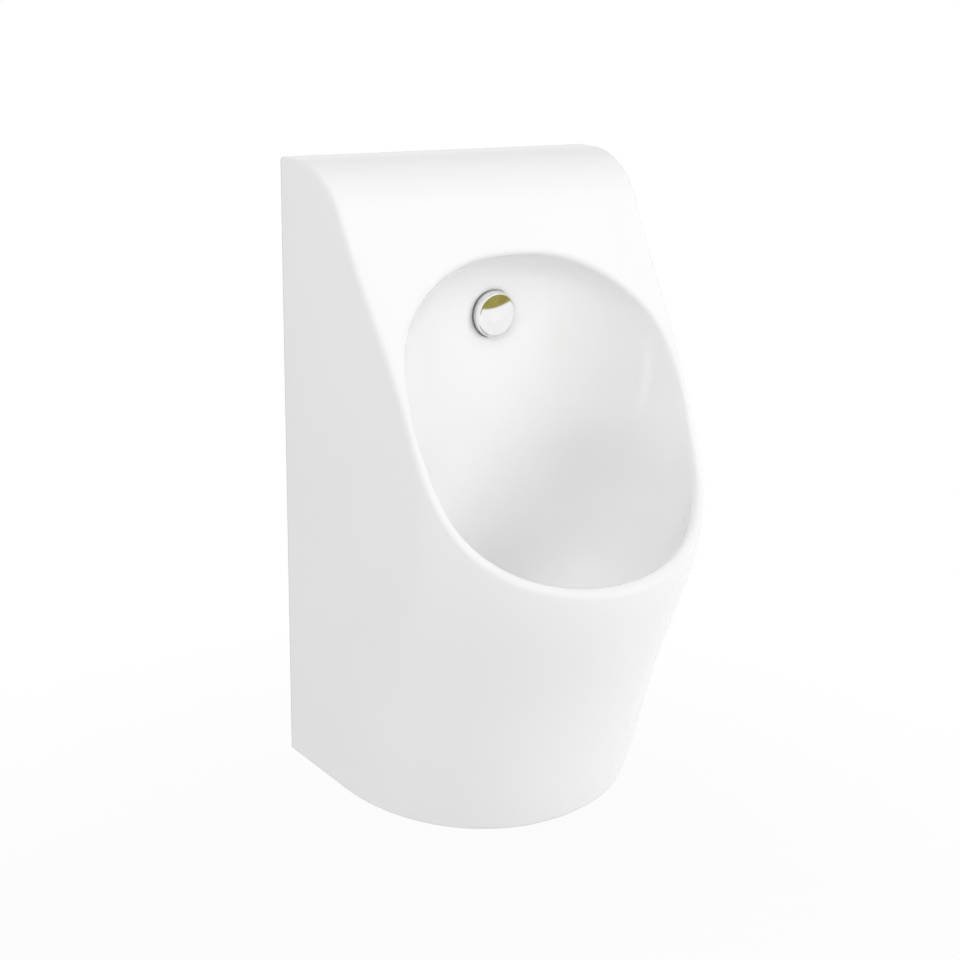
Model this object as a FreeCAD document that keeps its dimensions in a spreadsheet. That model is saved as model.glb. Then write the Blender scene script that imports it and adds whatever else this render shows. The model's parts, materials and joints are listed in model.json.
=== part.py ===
import FreeCAD, Part
import math
import os
import re
import Sketcher

# Wall-hung urinal. Millimetres, +Z up. The origin lies on the wall plane, on the centre line, at the
# lower edge of the ceramic. The front faces -Y, so a depth is a distance from the wall along -Y.

doc = FreeCAD.newDocument("urinal")
sheet = doc.addObject("Spreadsheet::Sheet", "Sizes")

sizes = {
    # outside of the ceramic
    "body_width": 330,
    "bottom_taper": 1.5,
    "body_height": 577,
    "lip_height": 255,
    "lip_depth": 299.5,
    "lip_side_share": 0.65442,
    "lip_side_taper": 16,
    "foot_setback": 65.5,
    "foot_side_share": 0.38034,
    "foot_side_taper": 11.5,
    "top_depth": 71,
    "rim_round": 3.5,
    "top_round": 80,
    # bowl
    "bowl_floor_height": 150,
    "arch_drop": 76,
    "side_rim": 23.5,
    "bowl_back_depth": 84,
    "bowl_round": 4.5,
    "floor_radius": 45,
    # walls of the ceramic and the open back
    "skin_wall": 9,
    "panel_wall": 11,
    "flange_wall": 12,
    "bowl_wall": 9,
    "flange_side": 26,
    "rail_drop": 68,
    "ear_inset": 25,
    "ear_height": 90,
    "overrun": 40,
    "edge_slack": 1,
    # spray head on the bowl's back
    "spray_drop": 58,
    "seat_cut": 0.9,
    "seat_radius": 22,
    "seat_thickness": 11.6,
    "boss_radius": 24,
    "spray_hole_play": 0.75,
    "tail_radius": 10.45,
    "tail_gap": 6.3,
    "gasket_radius": 15,
    "gasket_thickness": 2,
    "gasket_play": 0.4,
    "nozzle_bore_radius": 6,
    "nozzle_flange_radius": 16,
    "nozzle_flange": 2,
    "neck_radius": 8,
    "neck_length": 5.4,
    "neck_wall": 1.8,
    "port_radius": 1,
    "port_rise": 1.2,
    "cap_radius": 21,
    "cap_gap": 1.8,
    "cap_height": 9.8,
    "cap_wall": 2.2,
    "cap_crown": 4.8,
    "cap_dome_radius": 120,
    "cap_round": 3.5,
    "hub_radius": 11,
    "hub_gap": 6.4,
    "hub_play": 0.05,
    "hub_end_play": 0.3,
    "washer_radius": 18,
    "washer_thickness": 2,
    "locknut_flats": 30,
    "locknut_length": 7,
    "thread_play": 0.05,
    # elbow and bent pipe
    "supply_depth": 32,
    "elbow_radius": 14,
    "elbow_reach": 20,
    "elbow_leg_radius": 11,
    "elbow_drop": 28,
    "water_radius": 4.8,
    "pipe_radius": 6,
    "pipe_wall": 1,
    "pipe_socket": 12,
    "pipe_bend_radius": 26,
    "pipe_nut_flats": 22,
    "pipe_nut_length": 9,
    # solenoid valve
    "pipe_spare": 3,
    "valve_drop": 92,
    "valve_size": 44,
    "valve_body_drop": 16,
    "valve_body_rise": 16,
    "outlet_spigot_radius": 11,
    "outlet_spigot_length": 10,
    "inlet_spigot_length": 18,
    "inlet_bore_radius": 6,
    "inlet_bore_length": 27,
    "ring_inner_radius": 8,
    "ring_outer_radius": 15,
    "ring_depth": 8,
    "riser_radius": 2.6,
    "riser_offset": 12,
    "riser_rise": 6,
    "valve_screw_spacing": 34,
    "screw_radius": 1.5,
    "screw_play": 0.05,
    "screw_head_radius": 2.75,
    "screw_head": 3,
    "valve_screw_length": 22,
    "diaphragm_thickness": 2,
    "bonnet_thickness": 6,
    "core_radius": 6.5,
    "core_wall": 1.45,
    "core_height": 42,
    "core_top_wall": 2,
    "pilot_radius": 1,
    "pilot_wall": 2.5,
    "plunger_play": 0.05,
    "plunger_length": 21.5,
    "spring_radius": 4.3,
    "spring_wire": 1.2,
    "coil_radius": 16,
    "coil_height": 29,
    "coil_play": 0.05,
    "plug_reach": 28,
    "plug_width": 16,
    "plug_base": 2,
    "plug_height": 18,
    "coil_nut_flats": 17,
    "coil_nut_length": 5,
    # stop valve and its union
    "stop_spigot_rise": 34,
    "stop_radius": 13,
    "stop_shoulder": 24,
    "stop_reach": 24,
    "stop_thread_length": 30,
    "stop_bore_radius": 6,
    "plug_radius": 7.95,
    "plug_reach_back": 12,
    "plug_play": 0.05,
    "plug_end_play": 0.3,
    "plug_port_radius": 5,
    "stem_radius": 4,
    "stem_rise": 2,
    "gland_flats": 24,
    "gland_length": 6,
    "handle_radius": 15,
    "handle_gap": 2,
    "handle_length": 12,
    "handle_round": 1.5,
    "filter_thickness": 4,
    "filter_play": 0.25,
    "union_flats": 27,
    "union_grip": 12,
    "union_play": 0.05,
    # control box
    "box_margin": 12,
    "box_drop": 40,
    "box_pipe_gap": 28,
    "box_height": 90,
    "box_depth": 26,
    "box_wall": 2.5,
    "box_round": 4,
    "post_radius": 4,
    "post_inset": 5.5,
    "lid_thickness": 3,
    "lid_screw_length": 18,
    "shelf_depth": 17,
    "shelf_radius": 3,
    "board_thickness": 1.6,
    "board_side_gap": 13,
    "battery_gap": 11.5,
    "board_edge": 7,
    "battery_width": 36,
    "battery_height": 35,
    "battery_depth": 19.5,
    "battery_edge": 12,
    "battery_round": 2,
    "gland_radius": 5,
    "gland_reach": 7,
    # drain
    "drain_offset": 81,
    "drain_hole_play": 1,
    "drain_tail_radius": 26,
    "drain_tail_wall": 3.5,
    "drain_tail_drop": 42,
    "drain_flange_radius": 40,
    "drain_flange": 4,
    "drain_gasket_radius": 38,
    "drain_gasket": 2,
    "strainer_radius": 34.5,
    "strainer_play": 0.5,
    "strainer_thickness": 2,
    "strainer_dome": 6,
    "strainer_dome_radius": 26,
    "strainer_hole_radius": 2.5,
    "strainer_ring_radius": 8.5,
    "strainer_outer_ring_radius": 16.5,
    "drain_washer_radius": 40,
    "drain_washer": 2.5,
    "drain_nut_radius": 39,
    "drain_nut_length": 9.5,
    # trap
    "insert_radius": 19,
    "insert_wall": 1.5,
    "insert_gap": 12,
    "insert_collar_radius": 22,
    "insert_collar": 8,
    "neck_outer_radius": 32,
    "neck_play": 0.4,
    "neck_grip": 10,
    "neck_height": 12,
    "trap_height": 62,
    "trap_top_wall": 3,
    "trap_radius": 39,
    "trap_wall": 3,
    "trap_seal": 3,
    "trap_nut_wall": 5,
    "trap_nut_lid": 3,
    "trap_nut_play": 0.1,
    "cup_drop": 38,
    "cup_radius": 40,
    "cup_wall": 3,
    "cup_play": 0.3,
    "cup_thread": 12,
    "cup_seal": 2.5,
    "cup_round": 4,
    # outlet
    "outlet_drop": 26,
    "outlet_radius": 20,
    "outlet_wall": 1.8,
    "outlet_play": 0.3,
    "outlet_reach": 40,
    "outlet_insert": 8,
    "outlet_spigot_wall": 3.7,
    "outlet_spigot": 61,
    "outlet_socket": 18,
    "outlet_bead_radius": 22,
    "outlet_bead": 3,
    "outlet_seal": 3,
    "outlet_nut_wall": 5,
    "outlet_nut_skirt": 12,
    "outlet_nut_lid": 3,
    "outlet_nut_play": 0.1,
    # wall fixing
    "plate_gap": 9,
    "plate_margin": 15,
    "plate_thickness": 4,
    "hook_width": 45,
    "hook_rise": 21,
    "hook_play": 0.6,
    "pad_thickness": 2,
    "pad_play": 0.2,
    "bolt_inset": 20,
    "bolt_drop": 34,
    "lower_bolt_height": 45,
    "bolt_radius": 4,
    "bolt_wall_radius": 5,
    "bolt_wall_length": 45,
    "bolt_end": 24,
    "bolt_hole_play": 0.5,
    "bolt_washer_radius": 9,
    "bolt_washer": 1.6,
    "bolt_washer_play": 0.25,
    "bolt_nut_flats": 13,
    "bolt_nut_length": 6.5,
    "sleeve_wall": 2.5,
    "sleeve_play": 0.2,
    "sleeve_hole_play": 0.3,
    "sleeve_flange_radius": 12,
    "sleeve_flange": 2,
}

for row, (name, number) in enumerate(sizes.items(), start=1):
    sheet.set(f"A{row}", name)
    sheet.set(f"B{row}", str(number))
    sheet.setAlias(f"B{row}", name)
doc.recompute()

V = FreeCAD.Vector
turns = {
    "up": FreeCAD.Rotation(),
    "forward": FreeCAD.Rotation(V(1, 0, 0), 90),
    "backward": FreeCAD.Rotation(V(1, 0, 0), -90),
    "right": FreeCAD.Rotation(V(0, 1, 0), 90),
    "left": FreeCAD.Rotation(V(0, 1, 0), -90),
    "down": FreeCAD.Rotation(V(1, 0, 0), 180),
}
subparts = []


# places and sizes that follow from the driving ones
derived = {
    "bottom_width": "body_width - 2 * bottom_taper",
    "lip_side_depth": "lip_depth * lip_side_share",
    "lip_side_width": "body_width - 2 * lip_side_taper",
    "bottom_depth": "lip_depth - foot_setback",
    "bottom_side_depth": "bottom_depth * foot_side_share",
    "bottom_side_width": "body_width - 2 * foot_side_taper",
    "bowl_apex_height": "body_height - arch_drop",
    "bowl_width": "body_width - 2 * side_rim",
    "opening_width": "body_width - 2 * flange_side",
    "rail_height": "body_height - rail_drop",
    "spray_height": "bowl_apex_height - spray_drop",
    "elbow_back": "supply_depth - elbow_radius",
    "elbow_mouth": "supply_depth + elbow_reach",
    "pipe_run": "pipe_nut_length + pipe_spare + outlet_spigot_length",
    "valve_offset": "pipe_bend_radius + pipe_run + valve_size / 2",
    "valve_outlet_height": "spray_height - valve_drop",
    "valve_base_height": "valve_outlet_height - valve_body_drop",
    "valve_seat_height": "valve_outlet_height + valve_body_rise",
    "stop_height": "valve_base_height - inlet_spigot_length - filter_thickness - stop_spigot_rise",
    "stop_back": "supply_depth - stop_shoulder",
    "stop_front": "supply_depth + stop_reach",
    "plug_back": "supply_depth - plug_reach_back",
    "stem_end": "stop_front + gland_length + handle_gap + handle_length + stem_rise",
    "plate_width": "opening_width - 2 * plate_gap",
    "bolt_spacing": "plate_width - 2 * bolt_inset",
    "ear_gap_width": "bolt_spacing - 2 * ear_inset",
    "upper_bolt_height": "rail_height - bolt_drop",
    "box_left": "plate_width / 2 - box_margin",
    "box_width": "box_left - box_pipe_gap",
    "board_width": "box_width - 2 * board_side_gap",
    "box_base_height": "upper_bolt_height - box_drop - box_height",
    "board_height": "box_height - box_wall - battery_height - battery_gap - board_edge",
    "plate_base_height": "box_base_height - plate_margin",
    "drain_depth": "bowl_back_depth + drain_offset",
    "drain_tail_end": "bowl_floor_height - drain_tail_drop",
    "neck_top": "drain_tail_end + neck_grip",
    "trap_top": "neck_top - neck_height",
    "trap_bottom": "trap_top - trap_height",
    "cup_bottom": "trap_bottom - cup_drop",
    "insert_end": "cup_bottom + insert_gap",
    "outlet_height": "trap_top - outlet_drop",
    "outlet_mouth": "drain_depth - outlet_spigot",
}


def spell(word):
    name = word.group(0)
    return f"({link(derived[name])})" if name in derived else "Sizes." + name


def link(text):
    return re.sub(r"[a-z][a-z_]+", spell, text)


def value(text):
    return float(sheet.evalExpression(link(text)))


def bind(item, path, text):
    if text != "0":
        item.setExpression(path, link(text))


def aim(item, base, turn="up"):
    item.Placement = FreeCAD.Placement(V(0, 0, 0), turns[turn])
    for letter, text in zip("xyz", base):
        bind(item, ".Placement.Base." + letter, text)
    return item


def named(item, label):
    item.Label = label
    subparts.append(item)
    return item


def cylinder(name, radius, height, base, turn="up"):
    item = doc.addObject("Part::Cylinder", name)
    bind(item, "Radius", radius)
    bind(item, "Height", height)
    return aim(item, base, turn)


def block(name, length, width, height, base):
    item = doc.addObject("Part::Box", name)
    bind(item, "Length", length)
    bind(item, "Width", width)
    bind(item, "Height", height)
    return aim(item, base)


def prism(name, sides, radius, height, base, turn="up"):
    item = doc.addObject("Part::Prism", name)
    item.Polygon = sides
    bind(item, "Circumradius", radius)
    bind(item, "Height", height)
    return aim(item, base, turn)


def fuse(name, *pieces):
    item = doc.addObject("Part::MultiFuse", name)
    item.Shapes = list(pieces)
    return item


def cut(name, base, *tools):
    item = doc.addObject("Part::Cut", name)
    item.Base = base
    item.Tool = tools[0] if len(tools) == 1 else fuse(name + "_tools", *tools)
    return item


def group(name, *pieces):
    item = doc.addObject("Part::Compound", name)
    item.Links = list(pieces)
    return item


def mirrored(name, source):
    item = doc.addObject("Part::Mirroring", name)
    item.Source = source
    item.Base = V(0, 0, 0)
    item.Normal = V(1, 0, 0)
    return item


def rounded(name, base, radius, chosen):
    doc.recompute()
    item = doc.addObject("Part::Fillet", name)
    item.Base = base
    size = value(radius)
    item.Edges = [(i, size, size) for i, edge in enumerate(base.Shape.Edges, start=1) if chosen(edge)]
    return item


def outline(sketch, corners):
    points = [V(value(x), value(y), 0) for x, y in corners]
    count = len(points)
    for i in range(count):
        sketch.addGeometry(Part.LineSegment(points[i], points[(i + 1) % count]), False)
    for i in range(count):
        sketch.addConstraint(Sketcher.Constraint("Coincident", i, 2, (i + 1) % count, 1))
    for i, pair in enumerate(corners):
        for kind, axis, text in zip(("DistanceX", "DistanceY"), (-2, -1), pair):
            if text == "0":
                sketch.addConstraint(Sketcher.Constraint("PointOnObject", i, 1, axis))
            else:
                place = sketch.addConstraint(Sketcher.Constraint(kind, i, 1, value(text)))
                sketch.setExpression(f"Constraints[{place}]", link(text))


def turned(name, corners, base, turn="up"):
    # corners are (radius, distance along the axis)
    body = doc.addObject("PartDesign::Body", name)
    sketch = body.newObject("Sketcher::SketchObject", name + "_profile")
    plane = [item for item in body.Origin.OriginFeatures if item.Role == "XZ_Plane"][0]
    sketch.AttachmentSupport = [(plane, "")]
    sketch.MapMode = "FlatFace"
    outline(sketch, corners)
    spin = body.newObject("PartDesign::Revolution", name + "_turned")
    spin.Profile = sketch
    spin.ReferenceAxis = (sketch, ["V_Axis"])
    spin.Angle = 360
    return aim(body, base, turn)


def ring(name, inner, outer, low, high, base, turn="up"):
    return turned(name, [(inner, low), (outer, low), (outer, high), (inner, high)], base, turn)


def nut(name, flats, bore, length, base, turn="up"):
    # a hexagon's corner radius is its flats over the square root of three
    return cut(
        name,
        prism(name + "_hexagon", 6, f"{flats} / 3 ^ 0.5", length, base, turn),
        cylinder(name + "_bore", bore, length, base, turn),
    )


# Ceramic body: a lofted outside cut by the slanting front, a lofted bowl and a hollow open to the back
lip_crown_share = 0.485
bottom_crown_share = 0.55
quarter_share = 0.5523
side_knot_share = 0.5
panel_height_shares = (1, 0.7484, 0.5, 0.2484, 0)
panel_depth_shares = (1, 0.8074, 0.5755, 0.3786, 0)
half_share = 0.5
outer_height_shares = (0.34, 0.68, 1, 1.28, 1.75)
bowl_height_shares = (
    0, 0.04, 0.114, 0.2137, 0.319, 0.427, 0.513, 0.627, 0.755, 0.8376, 0.9117, 0.963, 0.9915, 1.0057, 1.02
)
bowl_width_shares = (
    0, 0.495, 0.728, 0.862, 0.919, 0.944, 0.96, 1, 1, 0.95, 0.828, 0.674, 0.52, 0.38, 0.2
)
bowl_back_shares = (
    0, 1.34, 1.183, 1.11, 1.073, 1.055, 1.043, 1.03, 1.012, 1, 1.012, 1.098, 1.244, 1.402, 1.61
)
bowl_front_shares = (
    0, 0.781, 0.875, 0.935, 0.9616, 1, 1.018, 1, 0.95, 0.885, 0.818, 0.768, 0.694, 0.634, 0.568
)
bowl_middle_shares = (
    0, 0.4435, 0.424, 0.4286, 0.46, 0.485, 0.5216, 0.536, 0.505, 0.4918, 0.506, 0.5, 0.5, 0.493, 0.474
)
bowl_rise_shares = (-1, -0.75, -0.4, -0.15, 0, 0, 0, 0, 0, 0.05, 0.2, 0.6, 0.85, 0.95, 1)


def size(name):
    return value(name)


def mix(start, end, share):
    return start + (end - start) * share


def line(start, end):
    return Part.LineSegment(start, end).toShape()


def cubic(*poles):
    curve = Part.BezierCurve()
    curve.setPoles(list(poles))
    return curve.toShape()


def outer_section(height, inset, wall):
    share = min(height / size("lip_height"), 1)
    back = mix(size("bottom_width"), size("body_width"), height / size("body_height")) / 2 - inset
    side = mix(size("bottom_side_width"), size("lip_side_width"), share) / 2 - inset
    deep = mix(size("bottom_side_depth"), size("lip_side_depth"), share)
    front = mix(size("bottom_depth"), size("lip_depth"), share) - inset
    crown = mix(bottom_crown_share, lip_crown_share, share)
    slope = (back - side) / deep
    ahead = (front - deep) * crown
    left_back = V(slope * wall - back, -wall, height)
    right_back = V(back - slope * wall, -wall, height)
    right_side = V(side, -deep, height)
    left_side = V(-side, -deep, height)
    tip = V(0, -front, height)
    lead = V(slope * ahead, ahead, 0)
    reach = V(side * crown, 0, 0)
    right_lead = right_side + lead * side_knot_share
    left_lead = left_side + V(-lead.x, lead.y, 0) * side_knot_share
    wrap = Part.BSplineCurve()
    wrap.buildFromPolesMultsKnots(
        [
            right_back, mix(right_back, right_lead, half_share), right_lead,
            right_side - lead, tip + reach, tip - reach, left_side + V(lead.x, -lead.y, 0),
            left_lead, mix(left_lead, left_back, half_share), left_back,
        ],
        [4, 2, 2, 2, 4],
        [0, side_knot_share, 1 + side_knot_share, 2 + side_knot_share, 2 + 2 * side_knot_share],
        False, 3,
    )
    return Part.Wire([line(left_back, right_back), wrap.toShape()])


def outer_form(inset, wall, bottom, top):
    heights = [bottom] + [share * size("lip_height") for share in outer_height_shares] + [top]
    return Part.makeLoft([outer_section(height, inset, wall) for height in heights], True, False)


def flat_backed(solid):
    wall_plane = Part.Plane(V(0, 0, 0), V(0, 1, 0))
    faces = []
    for face in solid.Faces:
        flat = face.BoundBox.YLength < size("edge_slack")
        faces.append(Part.Face(wall_plane, face.OuterWire) if flat else face)
    skin = Part.makeShell(faces)
    skin.sewShape()
    return Part.makeSolid(skin)


def bowl_section(i, grow):
    height = mix(size("bowl_floor_height"), size("bowl_apex_height"), bowl_height_shares[i])
    height += bowl_rise_shares[i] * grow
    half = bowl_width_shares[i] * size("bowl_width") / 2
    back = bowl_back_shares[i] * size("bowl_back_depth")
    front = bowl_front_shares[i] * size("lip_depth")
    middle = mix(back, front, bowl_middle_shares[i])
    if i == 0:
        half = size("floor_radius")
        middle = size("drain_depth")
        back = middle - half
        front = middle + half
    half += grow
    behind = middle - back + grow
    ahead = front - middle + grow
    centre = V(0, -middle, height)
    north = centre + V(0, behind, 0)
    east = centre + V(half, 0, 0)
    south = centre - V(0, ahead, 0)
    west = centre - V(half, 0, 0)
    across = V(half * quarter_share, 0, 0)
    rear = V(0, behind * quarter_share, 0)
    fore = V(0, ahead * quarter_share, 0)
    return Part.Wire([
        cubic(north, north + across, east + rear, east),
        cubic(east, east - fore, south + across, south),
        cubic(south, south - across, west - fore, west),
        cubic(west, west + rear, north - across, north),
    ])


def bowl_form(grow):
    return Part.makeLoft([bowl_section(i, grow) for i in range(len(bowl_height_shares))], True, False)


panel_points = [
    V(
        0,
        -mix(size("lip_depth"), size("top_depth"), deep),
        mix(size("lip_height"), size("body_height"), high),
    )
    for deep, high in zip(panel_depth_shares, panel_height_shares)
]
panel_curve = Part.BSplineCurve()
panel_curve.interpolate(panel_points)


def front_form(shift):
    spare = size("overrun")
    upper = panel_points[0] - panel_curve.tangent(panel_curve.FirstParameter)[0] * spare
    lower = panel_points[-1] + panel_curve.tangent(panel_curve.LastParameter)[0] * spare
    low_corner = lower - V(0, spare, 0)
    high_corner = V(0, low_corner.y, upper.z)
    wire = Part.Wire([
        line(upper, panel_points[0]),
        panel_curve.toShape(),
        line(panel_points[-1], lower),
        line(lower, low_corner),
        line(low_corner, high_corner),
        line(high_corner, upper),
    ])
    wire.translate(V(-size("body_width"), shift, 0))
    return Part.Face(wire).extrude(V(2 * size("body_width"), 0, 0))


def middle_of(edge):
    return edge.valueAt((edge.FirstParameter + edge.LastParameter) / 2)


def on_panel(edge, slack):
    for vertex in [middle_of(edge)] + [item.Point for item in edge.Vertexes]:
        flat = V(0, vertex.y, vertex.z)
        near = panel_curve.value(panel_curve.parameter(flat))
        if near.distanceToPoint(flat) > slack:
            return False
    return True


seat = "(bowl_back_depth - seat_cut)"
boss_back = "(bowl_back_depth - seat_cut - seat_thickness)"
upper_bolts = [(f"{side}bolt_spacing / 2", "0", "upper_bolt_height") for side in ("", "-")]
lower_bolts = [(f"{side}bolt_spacing / 2", "0", "lower_bolt_height") for side in ("", "-")]

def edges_of(shape, wanted):
    return [edge for edge in shape.Edges if wanted(edge, middle_of(edge))]


def is_ridge(edge, centre):
    return on_panel(edge, size("edge_slack")) and centre.z > size("body_height") - size("edge_slack")


def is_inner_ridge(edge, centre):
    slack = size("edge_slack")
    if centre.z < size("body_height") - size("skin_wall") - slack:
        return False
    return abs(centre.x) < slack and -centre.y > size("flange_wall") + slack


def is_rim(edge, centre):
    slack = size("edge_slack")
    if -centre.y < slack or near_bowl(centre):
        return False
    if centre.z > panel_points[1].z:
        return abs(centre.x) > slack
    return on_panel(edge, slack) or centre.z < slack


def is_mouth(edge, centre):
    return near_bowl(centre) and on_panel(edge, size("edge_slack"))


def near_bowl(point):
    return bowl.distToShape(Part.Vertex(point))[0] < size("edge_slack")


def plain_cylinder(radius, low, high, centre, axis):
    # from low to high along the axis through the centre
    return Part.makeCylinder(radius, high - low, centre + axis * low, axis)


def plain_block(width, low, high, front):
    return Part.makeBox(width, front + spare, high - low, V(-width / 2, -front, low))


spare = size("overrun")
forward = V(0, -1, 0)
upward = V(0, 0, 1)
bowl = bowl_form(0)
shell = flat_backed(outer_form(0, 0, 0, size("body_height"))).cut(front_form(0))
shell = shell.makeFillet(size("top_round"), edges_of(shell, is_ridge))
shell = shell.cut(bowl)
shell = shell.makeFillet(size("rim_round"), edges_of(shell, is_rim))
shell = shell.makeFillet(size("bowl_round"), edges_of(shell, is_mouth))
hollow = outer_form(
    size("skin_wall"), size("flange_wall"), -spare, size("body_height") - size("skin_wall"),
)
hollow = hollow.cut(front_form(size("panel_wall")))
hollow = hollow.makeFillet(size("top_round") - size("panel_wall"), edges_of(hollow, is_inner_ridge))
hollow = hollow.cut(bowl_form(size("bowl_wall")))
shell = shell.cut(hollow)
shell = shell.cut(
    plain_block(size("opening_width"), size("ear_height"), size("rail_height"), size("flange_wall"))
)
shell = shell.cut(plain_block(size("ear_gap_width"), -spare, size("ear_height"), size("flange_wall")))
spray_axis = V(0, 0, size("spray_height"))
seat_depth = value(seat)
boss_depth = value(boss_back)
boss_front = size("bowl_back_depth") - size("bowl_wall") / 2
shell = shell.fuse(plain_cylinder(size("boss_radius"), boss_depth, boss_front, spray_axis, forward))
cap_front = seat_depth + size("cap_gap") + size("cap_height")
shell = shell.cut(plain_cylinder(size("seat_radius"), seat_depth, cap_front, spray_axis, forward))
spray_hole = size("tail_radius") + size("spray_hole_play")
shell = shell.cut(plain_cylinder(spray_hole, boss_depth - spare / 2, cap_front, spray_axis, forward))
drain_hole = size("drain_tail_radius") + size("drain_hole_play")
drain_axis = V(0, -size("drain_depth"), 0)
floor = size("bowl_floor_height")
shell = shell.cut(plain_cylinder(drain_hole, floor - spare, floor + spare, drain_axis, upward))
sleeve_hole = size("bolt_radius") + size("sleeve_play") + size("sleeve_wall") + size("sleeve_hole_play")
for side in (-1, 1):
    lower_axis = V(side * size("bolt_spacing") / 2, 0, size("lower_bolt_height"))
    shell = shell.cut(plain_cylinder(sleeve_hole, -spare, spare, lower_axis, forward))
ceramic = doc.addObject("Part::Feature", "ceramic_body")
ceramic.Shape = shell.removeSplitter().Solids[0]
named(ceramic, "ceramic_body")

# Spray head: depths run along -Y from the wall
spray = ("0", "0", "spray_height")
flange_back = f"({seat} + gasket_thickness)"
neck_back = f"({seat} + gasket_thickness + nozzle_flange)"
neck_front = f"({neck_back} + neck_length)"
tail_back = "(supply_depth + tail_gap)"
tail_bore = "tail_radius + gasket_play"
named(
    ring("spray_gasket", tail_bore, "gasket_radius", seat, flange_back, spray, "forward"),
    "spray_gasket",
)
nozzle_turned = turned("nozzle_turned", [
    ("nozzle_bore_radius", tail_back),
    ("tail_radius", tail_back),
    ("tail_radius", flange_back),
    ("nozzle_flange_radius", flange_back),
    ("nozzle_flange_radius", neck_back),
    ("neck_radius", neck_back),
    ("neck_radius", neck_front),
    ("0", neck_front),
    ("0", f"{neck_front} - neck_wall"),
    ("nozzle_bore_radius", f"{neck_front} - neck_wall"),
], spray, "forward")
port_depth = f"-({neck_back} + port_rise)"
named(cut(
    "spray_nozzle",
    nozzle_turned,
    cylinder(
        "port_across",
        "port_radius",
        "2 * neck_radius",
        ("-neck_radius", port_depth, "spray_height"),
        "right",
    ),
    cylinder(
        "port_upright",
        "port_radius",
        "2 * neck_radius",
        ("0", port_depth, "spray_height - neck_radius"),
    ),
), "spray_nozzle")

cap_back = f"({seat} + cap_gap)"
cap_end = f"({seat} + cap_gap + cap_height)"
hub_back = f"({seat} + hub_gap)"
cap_block = cylinder(
    "cap_block", "cap_radius", "cap_height", ("0", f"-{cap_back}", "spray_height"), "forward",
)
cap_ball = doc.addObject("Part::Sphere", "cap_ball")
bind(cap_ball, "Radius", "cap_dome_radius")
aim(cap_ball, ("0", f"cap_dome_radius - {cap_end}", "spray_height"))
cap_dome = doc.addObject("Part::Common", "cap_dome")
cap_dome.Base = cap_block
cap_dome.Tool = cap_ball
cap_soft = rounded(
    "cap_soft",
    cap_dome,
    "cap_round",
    lambda edge: middle_of(edge).y < -value(f"{cap_back} + cap_round"),
)
cap_inner = "cap_radius - cap_wall"
hub_bore = "neck_radius + hub_play"
named(cut(
    "spray_cap",
    cap_soft,
    ring("cap_hollow", "hub_radius", cap_inner, cap_back, f"{cap_end} - cap_crown", spray, "forward"),
    cylinder(
        "cap_mouth",
        cap_inner,
        f"{hub_back} - {cap_back}",
        ("0", f"-{cap_back}", "spray_height"),
        "forward",
    ),
    cylinder(
        "cap_bore",
        hub_bore,
        f"{neck_front} + hub_end_play - {cap_back}",
        ("0", f"-{cap_back}", "spray_height"),
        "forward",
    ),
), "spray_cap")
washer_back = f"({boss_back} - washer_thickness)"
named(
    ring("spray_washer", tail_bore, "washer_radius", washer_back, boss_back, spray, "forward"),
    "spray_washer",
)
named(nut(
    "spray_locknut", "locknut_flats", "tail_radius + thread_play", "locknut_length",
    ("0", f"locknut_length - {washer_back}", "spray_height"), "forward",
), "spray_locknut")
leg_end = "(spray_height - elbow_drop)"
named(cut(
    "spray_elbow",
    fuse(
        "elbow_outside",
        cylinder(
            "elbow_run",
            "elbow_radius",
            "elbow_mouth - elbow_back",
            ("0", "-elbow_back", "spray_height"),
            "forward",
        ),
        cylinder("elbow_leg", "elbow_leg_radius", "elbow_drop", ("0", "-supply_depth", leg_end)),
    ),
    cylinder(
        "elbow_thread", "tail_radius + thread_play", "elbow_mouth - supply_depth - water_radius",
        ("0", "-supply_depth - water_radius", "spray_height"), "forward",
    ),
    cylinder(
        "elbow_bore", "nozzle_bore_radius", "2 * nozzle_bore_radius",
        ("0", "nozzle_bore_radius - supply_depth", "spray_height"), "forward",
    ),
    cylinder("elbow_drop_bore", "water_radius", "elbow_drop", ("0", "-supply_depth", leg_end)),
    cylinder(
        "elbow_socket", "pipe_radius + thread_play", "pipe_socket", ("0", "-supply_depth", leg_end),
    ),
), "spray_elbow")

# Bent pipe from the valve's outlet up to the elbow
valve_left = "(valve_offset - valve_size / 2)"
spigot_left = f"({valve_left} - outlet_spigot_length)"
bend_top = "(valve_outlet_height + pipe_bend_radius)"


def bent_rod(name, radius):
    bend = doc.addObject("Part::Torus", name + "_bend")
    bind(bend, "Radius1", "pipe_bend_radius")
    bind(bend, "Radius2", radius)
    bend.Angle3 = 90
    aim(bend, ("pipe_bend_radius", "-supply_depth", bend_top))
    bend.Placement.Rotation = FreeCAD.Rotation(V(-1, 0, 0), V(0, 0, -1), V(0, -1, 0), "XYZ")
    return fuse(
        name,
        bend,
        cylinder(
            name + "_rise",
            radius,
            f"{leg_end} + pipe_socket - {bend_top}",
            ("0", "-supply_depth", bend_top),
        ),
        cylinder(
            name + "_run", radius, f"{spigot_left} + pipe_socket - pipe_bend_radius",
            ("pipe_bend_radius", "-supply_depth", "valve_outlet_height"), "right",
        ),
    )


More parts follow.
